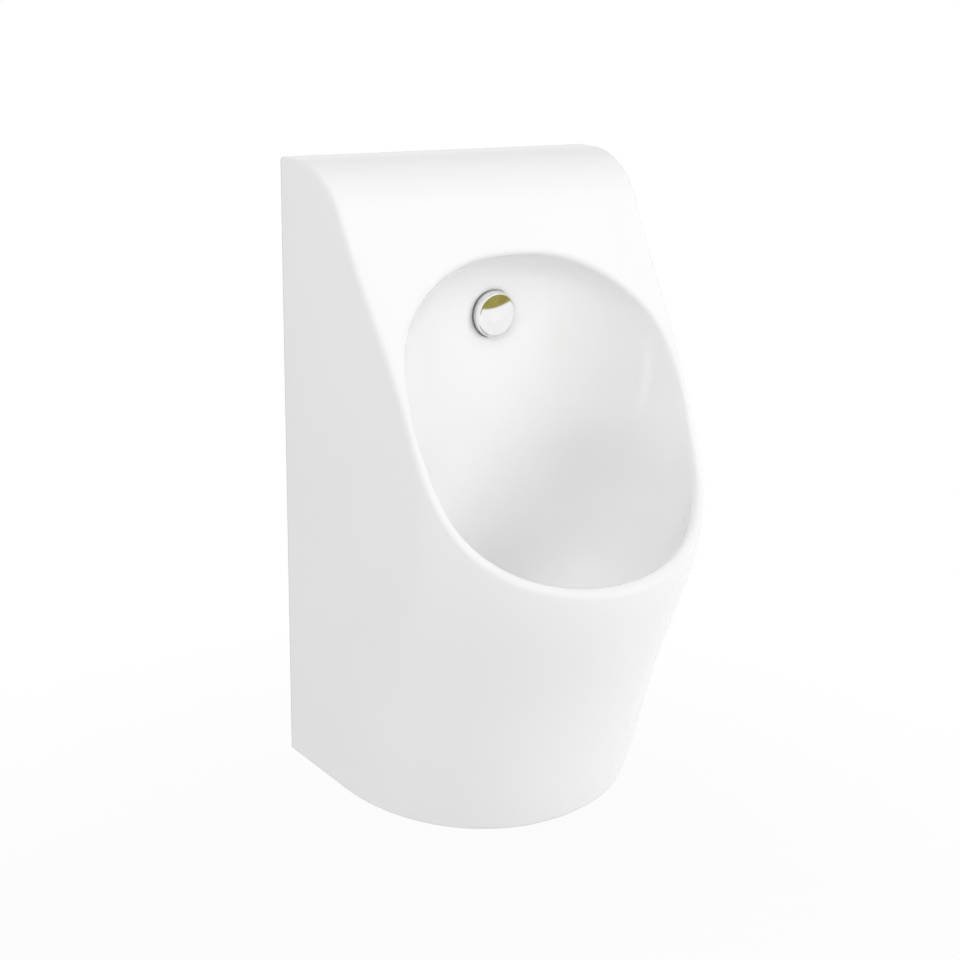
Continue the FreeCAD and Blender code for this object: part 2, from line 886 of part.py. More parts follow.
named(
    cut(
        "supply_pipe",
        bent_rod("pipe_outside", "pipe_radius"),
        bent_rod("pipe_inside", "pipe_radius - pipe_wall"),
    ),
    "supply_pipe",
)
pipe_nut_bore = "pipe_radius + thread_play"
named(group(
    "pipe_nuts",
    nut(
        "upper_pipe_nut",
        "pipe_nut_flats",
        pipe_nut_bore,
        "pipe_nut_length",
        ("0", "-supply_depth", f"{leg_end} - pipe_nut_length"),
    ),
    nut(
        "lower_pipe_nut", "pipe_nut_flats", pipe_nut_bore, "pipe_nut_length",
        (f"{spigot_left} - pipe_nut_length", "-supply_depth", "valve_outlet_height"), "right",
    ),
), "pipe_nuts")

# Solenoid valve: inlet from below, outlet to the side, coil on top
valve_back = "(supply_depth + valve_size / 2)"
valve = ("valve_offset", "-supply_depth", "0")
bonnet_base = "(valve_seat_height + diaphragm_thickness)"
bonnet_top = f"({bonnet_base} + bonnet_thickness)"
core_top = f"({bonnet_base} + core_height)"
pilot_top = f"({bonnet_base} + pilot_wall)"
screw_bore = "screw_radius + screw_play"
spigot_end = "(valve_base_height - inlet_spigot_length)"


def at_valve(height):
    return ("valve_offset", "-supply_depth", height)


def valve_block(name, low, height):
    return block(name, "valve_size", "valve_size", height, (valve_left, f"-{valve_back}", low))


def four_rods(name, radius, height, centre, spacing_across, spacing_up, turn):
    rods = []
    for i, (across, up) in enumerate(((1, 1), (-1, 1), (-1, -1), (1, -1))):
        shift = f" + {across} * {spacing_across} / 2"
        second = f" + {up} * {spacing_up} / 2"
        if turn == "up":
            base = (centre[0] + shift, centre[1] + second, centre[2])
        else:
            base = (centre[0] + shift, centre[1], centre[2] + second)
        rods.append(cylinder(f"{name}_{i + 1}", radius, height, base, turn))
    return rods


def valve_screw_holes(name, low, height):
    return four_rods(
        name, screw_bore, height, at_valve(low), "valve_screw_spacing", "valve_screw_spacing", "up",
    )


riser_height = "(valve_base_height + riser_rise)"
named(cut(
    "solenoid_body",
    fuse(
        "valve_outside",
        valve_block("valve_cube", "valve_base_height", "valve_seat_height - valve_base_height"),
        cylinder("inlet_spigot", "tail_radius", "inlet_spigot_length", at_valve(spigot_end)),
        cylinder(
            "outlet_spigot", "outlet_spigot_radius", "outlet_spigot_length",
            (spigot_left, "-supply_depth", "valve_outlet_height"), "right",
        ),
    ),
    cylinder(
        "outlet_socket", "pipe_radius + thread_play", "pipe_socket",
        (spigot_left, "-supply_depth", "valve_outlet_height"), "right",
    ),
    cylinder(
        "outlet_bore", "water_radius", f"valve_offset - {spigot_left}",
        (spigot_left, "-supply_depth", "valve_outlet_height"), "right",
    ),
    cylinder(
        "seat_bore",
        "water_radius",
        "valve_seat_height - valve_outlet_height",
        at_valve("valve_outlet_height"),
    ),
    ring(
        "ring_groove",
        "ring_inner_radius",
        "ring_outer_radius",
        "valve_seat_height - ring_depth",
        "valve_seat_height",
        valve,
    ),
    cylinder("inlet_bore", "inlet_bore_radius", "inlet_bore_length", at_valve(spigot_end)),
    cylinder("cross_bore", "riser_radius", "riser_offset", at_valve(riser_height), "right"),
    cylinder(
        "riser_bore", "riser_radius", f"valve_seat_height - {riser_height}",
        ("valve_offset + riser_offset", "-supply_depth", riser_height),
    ),
    *valve_screw_holes(
        "body_hole", f"{bonnet_top} - valve_screw_length - screw_play", "valve_screw_length",
    ),
), "solenoid_body")
named(cut(
    "solenoid_diaphragm",
    valve_block("diaphragm_sheet", "valve_seat_height", "diaphragm_thickness"),
    *valve_screw_holes("diaphragm_hole", "valve_seat_height", "diaphragm_thickness"),
), "solenoid_diaphragm")
named(cut(
    "solenoid_bonnet",
    fuse(
        "bonnet_outside",
        valve_block("bonnet_plate", bonnet_base, "bonnet_thickness"),
        cylinder("core_tube", "core_radius", "core_height", at_valve(bonnet_base)),
    ),
    cylinder(
        "core_bore",
        "core_radius - core_wall",
        "core_height - pilot_wall - core_top_wall",
        at_valve(pilot_top),
    ),
    cylinder("pilot_hole", "pilot_radius", "pilot_wall", at_valve(bonnet_base)),
    *valve_screw_holes("bonnet_hole", bonnet_base, "bonnet_thickness"),
), "solenoid_bonnet")
screws = []
shanks = four_rods(
    "valve_shank", "screw_radius", "valve_screw_length", at_valve(f"{bonnet_top} - valve_screw_length"),
    "valve_screw_spacing", "valve_screw_spacing", "up",
)
heads = four_rods(
    "valve_head", "screw_head_radius", "screw_head", at_valve(bonnet_top),
    "valve_screw_spacing", "valve_screw_spacing", "up",
)
for i, (shank, head) in enumerate(zip(shanks, heads), start=1):
    screws.append(fuse(f"valve_screw_{i}", shank, head))
named(group("bonnet_screws", *screws), "bonnet_screws")
plunger_radius = "core_radius - core_wall - plunger_play"
plunger_top = f"({pilot_top} + plunger_length)"
named(
    cylinder("solenoid_plunger", plunger_radius, "plunger_length", at_valve(pilot_top)),
    "solenoid_plunger",
)
named(ring(
    "solenoid_spring", "spring_radius - spring_wire", "spring_radius",
    plunger_top, f"{core_top} - core_top_wall", valve,
), "solenoid_spring")
coil_bore = "core_radius + coil_play"
named(cut(
    "solenoid_coil",
    fuse(
        "coil_outside",
        cylinder("coil_drum", "coil_radius", "coil_height", at_valve(bonnet_top)),
        block(
            "coil_plug", "plug_reach", "plug_width", "plug_height",
            ("valve_offset", "-supply_depth - plug_width / 2", f"{bonnet_top} + plug_base"),
        ),
    ),
    cylinder("coil_bore", coil_bore, "coil_height", at_valve(bonnet_top)),
), "solenoid_coil")
named(
    nut(
        "coil_nut",
        "coil_nut_flats",
        coil_bore,
        "coil_nut_length",
        at_valve(f"{bonnet_top} + coil_height"),
    ),
    "coil_nut",
)

# Stop valve on the wall, joined to the solenoid valve by a union with a filter
stop = ("valve_offset", "0", "stop_height")
filter_base = f"({spigot_end} - filter_thickness)"
named(cut(
    "stop_body",
    fuse(
        "stop_outside",
        turned("stop_barrel", [
            ("0", "-stop_thread_length"),
            ("tail_radius", "-stop_thread_length"),
            ("tail_radius", "stop_back"),
            ("stop_radius", "stop_back"),
            ("stop_radius", "stop_front"),
            ("0", "stop_front"),
        ], stop, "forward"),
        cylinder("stop_spigot", "tail_radius", f"{filter_base} - stop_height", at_valve("stop_height")),
    ),
    cylinder(
        "stop_inlet_bore", "stop_bore_radius", "stop_thread_length + plug_back",
        ("valve_offset", "stop_thread_length", "stop_height"), "forward",
    ),
    cylinder(
        "stop_plug_bore", "plug_radius + plug_play", "stop_front - plug_back",
        ("valve_offset", "-plug_back", "stop_height"), "forward",
    ),
    cylinder(
        "stop_outlet_bore", "plug_port_radius", f"{filter_base} - stop_height", at_valve("stop_height"),
    ),
), "stop_body")
named(cut(
    "stop_plug",
    turned("stop_plug_outside", [
        ("0", "plug_back + plug_end_play"),
        ("plug_radius", "plug_back + plug_end_play"),
        ("plug_radius", "stop_front - plug_end_play"),
        ("stem_radius", "stop_front - plug_end_play"),
        ("stem_radius", "stem_end"),
        ("0", "stem_end"),
    ], stop, "forward"),
    cylinder(
        "plug_axial_port", "stop_bore_radius", "supply_depth + stop_bore_radius - plug_back",
        ("valve_offset", "-plug_back", "stop_height"), "forward",
    ),
    cylinder("plug_radial_port", "plug_port_radius", "2 * plug_radius", at_valve("stop_height")),
), "stop_plug")
named(nut(
    "stop_gland", "gland_flats", "stem_radius + plug_play", "gland_length",
    ("valve_offset", "-stop_front", "stop_height"), "forward",
), "stop_gland")
handle_base = "(stop_front + gland_length + handle_gap)"
handle_solid = cut(
    "handle_solid",
    prism(
        "handle_prism",
        8,
        "handle_radius",
        "handle_length",
        ("valve_offset", f"-{handle_base}", "stop_height"),
        "forward",
    ),
    cylinder(
        "handle_bore",
        "stem_radius",
        "handle_length",
        ("valve_offset", f"-{handle_base}", "stop_height"),
        "forward",
    ),
)


def is_grip(edge):
    middle = middle_of(edge)
    axis_point = V(size("valve_offset"), middle.y, size("stop_height"))
    return middle.distanceToPoint(axis_point) > value("2 * stem_radius")


named(rounded("stop_handle", handle_solid, "handle_round", is_grip), "stop_handle")
named(
    cylinder("inlet_filter", "tail_radius - filter_play", "filter_thickness", at_valve(filter_base)),
    "inlet_filter",
)
named(nut(
    "inlet_union", "union_flats", "tail_radius + union_play", "filter_thickness + 2 * union_grip",
    at_valve(f"{filter_base} - union_grip"),
), "inlet_union")

# Control box on the hanger plate
box_floor = "plate_thickness"
box_front = "(plate_thickness + box_depth)"
lid_front = f"({box_front} + lid_thickness)"
box_middle = "-box_left + box_width / 2"
box_centre_height = "box_base_height + box_height / 2"
post_across = "(box_width - 2 * post_inset)"
post_up = "(box_height - 2 * post_inset)"


def box_posts(name, radius, low, length):
    return four_rods(
        name,
        radius,
        length,
        (box_middle, f"-({low})", box_centre_height),
        post_across,
        post_up,
        "forward",
    )


def corner_edges(direction):
    return lambda edge: abs(edge.tangentAt(edge.FirstParameter).dot(direction)) > 0.99


box_solid = block(
    "box_solid",
    "box_width",
    "box_depth",
    "box_height",
    ("-box_left", f"-{box_front}", "box_base_height"),
)
box_soft = rounded("box_soft", box_solid, "box_round", corner_edges(forward))
board_floor = "(plate_thickness + box_wall)"
board_back = f"({board_floor} + shelf_depth)"
shelf_across = "(board_width - 2 * box_wall)"
shelf_height = "(box_base_height + box_height - board_edge - board_height / 2)"
named(cut(
    "control_base",
    fuse(
        "box_filled",
        cut(
            "box_open",
            box_soft,
            block(
                "box_space", "box_width - 2 * box_wall", "box_depth", "box_height - 2 * box_wall",
                ("-box_left + box_wall", f"-{box_front} - box_wall", "box_base_height + box_wall"),
            ),
        ),
        *box_posts("box_post", "post_radius", board_floor, "box_depth - box_wall"),
        *[
            cylinder(
                f"box_shelf_{i}",
                "shelf_radius",
                "shelf_depth",
                (f"{box_middle} {sign} {shelf_across} / 2", f"-{board_floor}", shelf_height),
                "forward",
            )
            for i, sign in enumerate("+-", start=1)
        ],
        cylinder(
            "box_gland",
            "gland_radius",
            "gland_reach",
            (
                "-box_left + box_width",
                f"-{board_floor} - 2 * gland_radius",
                "box_base_height + box_height / 2",
            ),
            "right",
        ),
    ),
    *box_posts(
        "box_post_hole", screw_bore, f"{lid_front} - lid_screw_length - screw_play", "lid_screw_length",
    ),
), "control_base")
lid_solid = block(
    "lid_solid",
    "box_width",
    "lid_thickness",
    "box_height",
    ("-box_left", f"-{lid_front}", "box_base_height"),
)
lid_soft = rounded("lid_soft", lid_solid, "box_round", corner_edges(forward))
named(
    cut("control_lid", lid_soft, *box_posts("lid_hole", screw_bore, box_front, "lid_thickness")),
    "control_lid",
)
shanks = box_posts("lid_shank", "screw_radius", f"{lid_front} - lid_screw_length", "lid_screw_length")
heads = box_posts("lid_head", "screw_head_radius", lid_front, "screw_head")
screws = [fuse(f"lid_screw_{i}", *pair) for i, pair in enumerate(zip(shanks, heads), start=1)]
named(group("lid_screws", *screws), "lid_screws")
named(block(
    "control_board", "board_width", "board_thickness", "board_height",
    (
        f"{box_middle} - board_width / 2",
        f"-{board_back} - board_thickness",
        f"{shelf_height} - board_height / 2",
    ),
), "control_board")
battery_solid = block(
    "battery_solid", "battery_width", "battery_depth", "battery_height",
    ("-box_left + battery_edge", f"-{board_floor} - battery_depth", "box_base_height + box_wall"),
)
named(
    rounded("control_battery", battery_solid, "battery_round", corner_edges(forward)),
    "control_battery",
)

# Drain in the bowl's floor
drain = ("0", "-drain_depth", "0")
flange_base = "(bowl_floor_height + drain_gasket)"
flange_top = f"({flange_base} + drain_flange)"
strainer_base = f"({flange_top} - strainer_thickness)"
floor_under = "(bowl_floor_height - bowl_wall)"
tail_inner = "(drain_tail_radius - drain_tail_wall)"
named(
    ring(
        "drain_gasket",
        "drain_tail_radius + gasket_play",
        "drain_gasket_radius",
        "bowl_floor_height",
        flange_base,
        drain,
    ),
    "drain_gasket",
)
named(turned("drain_flange", [
    (tail_inner, "drain_tail_end"),
    ("drain_tail_radius", "drain_tail_end"),
    ("drain_tail_radius", flange_base),
    ("drain_flange_radius", flange_base),
    ("drain_flange_radius", flange_top),
    ("strainer_radius + strainer_play", flange_top),
    ("strainer_radius + strainer_play", strainer_base),
    (tail_inner, strainer_base),
], drain), "drain_flange")
dome_under = f"({strainer_base} + strainer_dome)"
strainer_turned = turned("strainer_turned", [
    ("0", dome_under),
    ("strainer_dome_radius - strainer_dome", dome_under),
    ("strainer_dome_radius", strainer_base),
    ("strainer_radius", strainer_base),
    ("strainer_radius", f"{strainer_base} + strainer_thickness"),
    ("strainer_dome_radius", f"{strainer_base} + strainer_thickness"),
    ("strainer_dome_radius - strainer_dome", f"{dome_under} + strainer_thickness"),
    ("0", f"{dome_under} + strainer_thickness"),
], drain)
holes = [
    cylinder(
        "strainer_hole",
        "strainer_hole_radius",
        "strainer_dome + 2 * strainer_thickness",
        ("0", "-drain_depth", strainer_base),
    )
]
inner_hole_count = 6
outer_hole_count = 12
for label, hole_count, reach in (
    ("inner", inner_hole_count, "strainer_ring_radius"),
    ("outer", outer_hole_count, "strainer_outer_ring_radius"),
):
    for i in range(hole_count):
        angle = math.tau * i / hole_count
        holes.append(cylinder(
            f"strainer_{label}_{i + 1}", "strainer_hole_radius", "strainer_dome + 2 * strainer_thickness",
            (
                f"{reach} * {math.cos(angle):.6f}",
                f"{reach} * {math.sin(angle):.6f} - drain_depth",
                strainer_base,
            ),
        ))
named(cut("drain_strainer", strainer_turned, *holes), "drain_strainer")
washer_base = f"({floor_under} - drain_washer)"
named(
    ring(
        "drain_washer",
        "drain_tail_radius + gasket_play",
        "drain_washer_radius",
        washer_base,
        floor_under,
        drain,
    ),
    "drain_washer",
)
named(cut(
    "drain_locknut",
    prism(
        "drain_nut_prism",
        8,
        "drain_nut_radius",
        "drain_nut_length",
        ("0", "-drain_depth", f"{washer_base} - drain_nut_length"),
    ),
    cylinder(
        "drain_nut_bore",
        "drain_tail_radius + thread_play",
        "drain_nut_length",
        ("0", "-drain_depth", f"{washer_base} - drain_nut_length"),
    ),
), "drain_locknut")

# Bottle trap under the drain
named(turned("trap_insert", [
    ("insert_radius - insert_wall", "insert_end"),
    ("insert_radius", "insert_end"),
    ("insert_radius", f"{strainer_base} - insert_collar"),
    ("insert_collar_radius", f"{strainer_base} - insert_collar"),
    ("insert_collar_radius", strainer_base),
    ("insert_radius", strainer_base),
    ("insert_radius", dome_under),
    ("insert_radius - insert_wall", dome_under),
], drain), "trap_insert")
neck_inner = "(drain_tail_radius + neck_play)"
outlet_centre = ("0", "0", "outlet_height")
outlet_spigot_outer = "(outlet_radius + outlet_play + outlet_spigot_wall)"
named(cut(
    "trap_body",
    fuse(
        "trap_outside",
        turned("trap_shell", [
            ("trap_radius - trap_wall", "trap_bottom"),
            ("trap_radius", "trap_bottom"),
            ("trap_radius", "trap_top"),
            ("neck_outer_radius", "trap_top"),
            ("neck_outer_radius", "neck_top"),
            (neck_inner, "neck_top"),
            (neck_inner, "trap_top - trap_top_wall"),
            ("trap_radius - trap_wall", "trap_top - trap_top_wall"),
        ], drain),
        cut(
            "trap_spigot",
            cylinder(
                "trap_spigot_outside", outlet_spigot_outer, "drain_depth - outlet_mouth",
                ("0", "-outlet_mouth", "outlet_height"), "forward",
            ),
            cylinder(
                "trap_spigot_core",
                "trap_radius - trap_wall / 2",
                "trap_top - trap_bottom",
                ("0", "-drain_depth", "trap_bottom"),
            ),
        ),
    ),
    cylinder(
        "trap_socket",
        "outlet_radius + outlet_play",
        "outlet_socket",
        ("0", "-outlet_mouth", "outlet_height"),
        "forward",
    ),
    cylinder(
        "trap_port",
        "outlet_radius - outlet_wall",
        "drain_depth - outlet_mouth",
        ("0", "-outlet_mouth", "outlet_height"),
        "forward",
    ),
), "trap_body")
seal_top = "(neck_top + trap_seal)"
named(
    ring(
        "trap_seal",
        "drain_tail_radius + thread_play",
        "neck_outer_radius",
        "neck_top",
        seal_top,
        drain,
    ),
    "trap_seal",
)
nut_skirt = "(neck_outer_radius + trap_nut_play)"
named(turned("trap_nut", [
    (nut_skirt, "trap_top"),
    (f"{nut_skirt} + trap_nut_wall", "trap_top"),
    (f"{nut_skirt} + trap_nut_wall", f"{seal_top} + trap_nut_lid"),
    ("drain_tail_radius + neck_play", f"{seal_top} + trap_nut_lid"),
    ("drain_tail_radius + neck_play", seal_top),
    (nut_skirt, seal_top),
], drain), "trap_nut")
cup_shoulder = "(trap_bottom - cup_seal)"
cup_sleeve = "(trap_radius - trap_wall - cup_play)"
cup_solid = turned("cup_solid", [
    ("0", "cup_bottom"),
    ("cup_radius", "cup_bottom"),
    ("cup_radius", cup_shoulder),
    (cup_sleeve, cup_shoulder),
    (cup_sleeve, "trap_bottom + cup_thread"),
    (f"{cup_sleeve} - cup_wall", "trap_bottom + cup_thread"),
    (f"{cup_sleeve} - cup_wall", "cup_bottom + cup_wall"),
    ("0", "cup_bottom + cup_wall"),
], drain)
named(
    rounded(
        "trap_cup",
        cup_solid,
        "cup_round",
        lambda edge: middle_of(edge).z < value("cup_bottom + cup_wall / 2"),
    ),
    "trap_cup",
)
named(
    ring("cup_seal", f"{cup_sleeve} + cup_play", "trap_radius", cup_shoulder, "trap_bottom", drain),
    "cup_seal",
)

# Outlet pipe back to the wall
bead_front = "(2 * outlet_bead)"
named(turned("outlet_pipe", [
    ("outlet_radius - outlet_wall", "-outlet_reach"),
    ("outlet_radius", "-outlet_reach"),
    ("outlet_radius", "outlet_bead"),
    ("outlet_bead_radius", "outlet_bead"),
    ("outlet_bead_radius", bead_front),
    ("outlet_radius", bead_front),
    ("outlet_radius", "outlet_mouth + outlet_insert"),
    ("outlet_radius - outlet_wall", "outlet_mouth + outlet_insert"),
], outlet_centre, "forward"), "outlet_pipe")
seal_back = "(outlet_mouth - outlet_seal)"
named(
    ring(
        "outlet_seal",
        "outlet_radius + thread_play",
        outlet_spigot_outer,
        seal_back,
        "outlet_mouth",
        outlet_centre,
        "forward",
    ),
    "outlet_seal",
)
outlet_skirt = f"({outlet_spigot_outer} + outlet_nut_play)"
named(turned("outlet_nut", [
    ("outlet_radius + outlet_play", f"{seal_back} - outlet_nut_lid"),
    (f"{outlet_skirt} + outlet_nut_wall", f"{seal_back} - outlet_nut_lid"),
    (f"{outlet_skirt} + outlet_nut_wall", "outlet_mouth + outlet_nut_skirt"),
    (outlet_skirt, "outlet_mouth + outlet_nut_skirt"),
    (outlet_skirt, seal_back),
    ("outlet_radius + outlet_play", seal_back),
], outlet_centre, "forward"), "outlet_nut")

# Wall fixing: a hanger plate whose hooks carry the ceramic's rail, and four wall bolts
step_top = "(rail_height - pad_thickness)"
hook_left = "(plate_width / 2 - hook_width)"
hook_back = "(flange_wall + hook_play)"
hook_front = f"({hook_back} + plate_thickness)"
hook = fuse(
    "hook",
    block(
        "hook_step",
        "hook_width",
        hook_front,
        "plate_thickness",
        (hook_left, f"-{hook_front}", f"{step_top} - plate_thickness"),
    ),
    block(
        "hook_tab",
        "hook_width",
        "plate_thickness",
        "hook_rise + plate_thickness",
        (hook_left, f"-{hook_front}", f"{step_top} - plate_thickness"),
    ),
)
plate_sheet = block(
    "plate_sheet", "plate_width", "plate_thickness", f"{step_top} - plate_base_height",
    ("-plate_width / 2", "-plate_thickness", "plate_base_height"),
)
plate_hole = "bolt_radius + bolt_hole_play"
named(cut(
    "wall_plate",
    fuse("plate_outside", plate_sheet, hook, mirrored("hook_mirror", hook)),
    *[
        cylinder(f"plate_hole_{i}", plate_hole, "plate_thickness", base, "forward")
        for i, base in enumerate(upper_bolts, start=1)
    ],
), "wall_plate")
pad = block(
    "pad",
    "hook_width",
    "flange_wall - pad_play",
    "pad_thickness",
    (hook_left, "-flange_wall", step_top),
)
named(group("hanger_pads", pad, mirrored("pad_mirror", pad)), "hanger_pads")
sleeve_front = "(flange_wall + sleeve_flange)"
sleeve_bore = "(bolt_radius + sleeve_play)"
washers = []
nuts = []
bolts = []
sleeves = []
for i, base in enumerate(upper_bolts + lower_bolts, start=1):
    clamp = "plate_thickness" if base in upper_bolts else sleeve_front
    bolts.append(turned(f"bolt_{i}", [
        ("0", "-bolt_wall_length"),
        ("bolt_wall_radius", "-bolt_wall_length"),
        ("bolt_wall_radius", "0"),
        ("bolt_radius", "0"),
        ("bolt_radius", "bolt_end"),
        ("0", "bolt_end"),
    ], base, "forward"))
    washers.append(ring(
        f"washer_{i}", "bolt_radius + bolt_washer_play", "bolt_washer_radius",
        clamp, f"{clamp} + bolt_washer", base, "forward",
    ))
    nuts.append(nut(
        f"nut_{i}", "bolt_nut_flats", "bolt_radius + thread_play", "bolt_nut_length",
        (base[0], f"-({clamp} + bolt_washer)", base[2]), "forward",
    ))
    if base in lower_bolts:
        sleeves.append(turned(f"sleeve_{i}", [
            (sleeve_bore, "0"),
            (f"{sleeve_bore} + sleeve_wall", "0"),
            (f"{sleeve_bore} + sleeve_wall", "flange_wall"),
            ("sleeve_flange_radius", "flange_wall"),
            ("sleeve_flange_radius", sleeve_front),
            (sleeve_bore, sleeve_front),
        ], base, "forward"))
named(group("wall_bolts", *bolts), "wall_bolts")
named(group("bolt_washers", *washers), "bolt_washers")
named(group("bolt_nuts", *nuts), "bolt_nuts")
named(group("lower_sleeves", *sleeves), "lower_sleeves")

doc.recompute()
faults = [item.Name for item in doc.Objects if {"Invalid", "Error"} & set(item.State)]
faults += [
    item.Label for item in subparts if item.Shape.isNull() or not item.Shape.isValid(
        
    ) or not item.Shape.Solids
]
if faults:
    raise RuntimeError("failed pieces: " + ", ".join(faults))
os.makedirs("parts", exist_ok=True)
for item in subparts:
    item.Shape.exportStep(f"parts/{item.Label}.step")
    solids = item.Shape.Solids
    print(item.Label, len(solids), round(sum(solid.Volume for solid in solids), 1))
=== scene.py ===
import bpy
import json
import math
from mathutils import Matrix, Vector


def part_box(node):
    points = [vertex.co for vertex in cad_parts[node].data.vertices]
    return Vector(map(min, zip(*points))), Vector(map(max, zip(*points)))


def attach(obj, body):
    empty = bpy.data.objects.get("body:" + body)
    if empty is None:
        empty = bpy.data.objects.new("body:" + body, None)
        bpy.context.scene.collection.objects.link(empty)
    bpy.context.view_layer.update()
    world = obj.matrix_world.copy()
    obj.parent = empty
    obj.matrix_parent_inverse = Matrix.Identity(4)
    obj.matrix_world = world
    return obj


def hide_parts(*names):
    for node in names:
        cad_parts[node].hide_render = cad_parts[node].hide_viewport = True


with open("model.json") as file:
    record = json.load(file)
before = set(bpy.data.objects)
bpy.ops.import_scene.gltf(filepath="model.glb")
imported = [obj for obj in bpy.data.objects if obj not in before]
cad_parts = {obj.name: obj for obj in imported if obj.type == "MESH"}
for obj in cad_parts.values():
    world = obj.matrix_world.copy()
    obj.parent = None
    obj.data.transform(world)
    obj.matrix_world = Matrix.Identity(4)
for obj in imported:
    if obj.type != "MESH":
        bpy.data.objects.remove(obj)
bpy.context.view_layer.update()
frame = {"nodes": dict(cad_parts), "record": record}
nodes = frame["nodes"]
print("frame loaded with", len(nodes), "nodes")


class Socket:
    # one socket of a node tree, with arithmetic that adds Math nodes

    def __init__(self, tree, plug=None):
        self.tree = tree
        self.plug = plug

    def add(self, kind, settings=None, sockets=None, out=0):
        made = self.tree.nodes.new(kind)
        for key, setting in (settings or {}).items():
            setattr(made, key, setting)
        for key, given in (sockets or {}).items():
            if isinstance(given, Socket):
                self.tree.links.new(given.plug, made.inputs[key])
            else:
                made.inputs[key].default_value = given
        return Socket(self.tree, made.outputs[out] if made.outputs else None)

    def maths(self, operation, left, right):
        return self.add("ShaderNodeMath", {"operation": operation}, {0: left, 1: right})

    def __add__(self, other):
        return self.maths("ADD", self, other)

    def __radd__(self, other):
        return self.maths("ADD", other, self)

    def __sub__(self, other):
        return self.maths("SUBTRACT", self, other)

    def __rsub__(self, other):
        return self.maths("SUBTRACT", other, self)

    def __mul__(self, other):
        return self.maths("MULTIPLY", self, other)

    def __rmul__(self, other):
        return self.maths("MULTIPLY", other, self)

    def __gt__(self, other):
        return self.maths("GREATER_THAN", self, other)

    def __lt__(self, other):
        return self.maths("LESS_THAN", self, other)

    def noise(self, place, scale, detail, roughness=0.5):
        return self.add("ShaderNodeTexNoise", {}, {
            "Vector": place, "Scale": scale, "Detail": detail, "Roughness": roughness,
        })

    def spread(self, low, high, toLow=0.0, toHigh=1.0):
        return self.add("ShaderNodeMapRange", {}, {
            "Value": self, "From Min": low, "From Max": high, "To Min": toLow, "To Max": toHigh,
        })

    def blendColours(self, first, second):
        # this socket is the factor
        return self.add("ShaderNodeMix", {"data_type": "RGBA"}, {
            "Factor": self, 6: first, 7: second,
        }, out=2)

    def part(self, letter):
        return self.add("ShaderNodeSeparateXYZ", {}, {"Vector": self}, out=letter)


def colour(red, green, blue):
    return (red, green, blue, 1.0)


def newFinish(name, makeSurface):
    made = bpy.data.materials.new(name)
    made.use_nodes = True
    tree = made.node_tree
    tree.nodes.clear()
    start = Socket(tree)
    place = start.add("ShaderNodeTexCoord", out="Object")  # the frame's own metres, at rest
    surface = makeSurface(start, place)
    start.add("ShaderNodeOutputMaterial", {}, {"Surface": surface})
    return made


def newObject(name, contents):
    made = bpy.data.objects.new(name, contents)
    bpy.context.scene.collection.objects.link(made)
    return made


def newMesh(name, points, faces, finish):
    made = bpy.data.meshes.new(name)
    made.from_pydata(points, [], faces)
    made.materials.append(finish)
    return made


def bumped(start, height, strength, distance, normal=None):
    sockets = {"Strength": strength, "Distance": distance, "Height": height}
    if normal is not None:
        sockets["Normal"] = normal
    return start.add("ShaderNodeBump", {}, sockets)


# in every finish a noise is its scale, detail and roughness, a range is the noise it is read between,
# and a bump is its strength and its height in metres

# glazed ceramic: a faint cloud of tone and an orange-peel skin, with bare clay where it meets the wall
glaze = {
    "tones": (colour(0.926, 0.927, 0.924), colour(0.940, 0.940, 0.936)),
    "cloud": (7.0, 4.0),
    "cloudRange": (0.35, 0.65),
    "wear": (14.0, 5.0),
    "wearRange": (0.3, 0.7),
    "roughness": (0.07, 0.14),
    "refraction": 1.52,
    "peel": (90.0, 1.0),
    "peelShare": 0.6,  # beside the grain of the clay
    "bump": (0.25, 0.00012),
    "softEdge": 0.006,  # fired glaze pulls back from every edge but the ground one at the wall
    "softSamples": 6,
    "groundEdge": -0.007,  # edges behind this plane stay crisp
    "clayEdge": -0.0008,  # and behind this one the clay is bare
    "clayTones": (colour(0.60, 0.565, 0.51), colour(0.72, 0.69, 0.64)),
    "clayPatch": (55.0, 8.0, 0.7),
    "clayGrain": (900.0, 2.0),
    "clayRange": (0.36, 0.64),
    "clayRoughness": 0.75,
}


def glazeSurface(start, place):
    depth = place.part("Y")
    grain = start.noise(place, *glaze["clayGrain"])
    patch = start.noise(place, *glaze["clayPatch"])
    clay = (0.5 * patch + 0.5 * grain).spread(*glaze["clayRange"])
    raw = depth > glaze["clayEdge"]
    cloud = start.noise(place, *glaze["cloud"]).spread(*glaze["cloudRange"])
    rough = start.noise(place, *glaze["wear"]).spread(*glaze["wearRange"], *glaze["roughness"])
    peel = start.noise(place, *glaze["peel"])
    height = peel * (1 - raw) * glaze["peelShare"] + grain * raw
    softened = start.add("ShaderNodeBevel", {"samples": glaze["softSamples"]}, {
        "Radius": glaze["softEdge"] * (depth < glaze["groundEdge"]),
    })
    glazed = cloud.blendColours(*glaze["tones"])
    return start.add("ShaderNodeBsdfPrincipled", {}, {
        "Base Color": raw.blendColours(glazed, clay.blendColours(*glaze["clayTones"])),
        "Roughness": rough * (1 - raw) + glaze["clayRoughness"] * raw,
        "IOR": glaze["refraction"],
        "Normal": bumped(start, height, *glaze["bump"], softened),
    })


# polished chrome with faint wiping marks
chrome = {
    "tones": (colour(0.905, 0.90, 0.905), colour(0.84, 0.835, 0.845)),
    "metallic": 1.0,
    "patch": (60.0, 5.0, 0.6),
    "toneRange": (0.35, 0.7),
    "grain": (700.0, 2.0),
    "sheenFollows": "patch",
    "sheenRange": (0.3, 0.75),
    "roughness": (0.04, 0.08),
    "bump": (0.04, 0.00005),
}

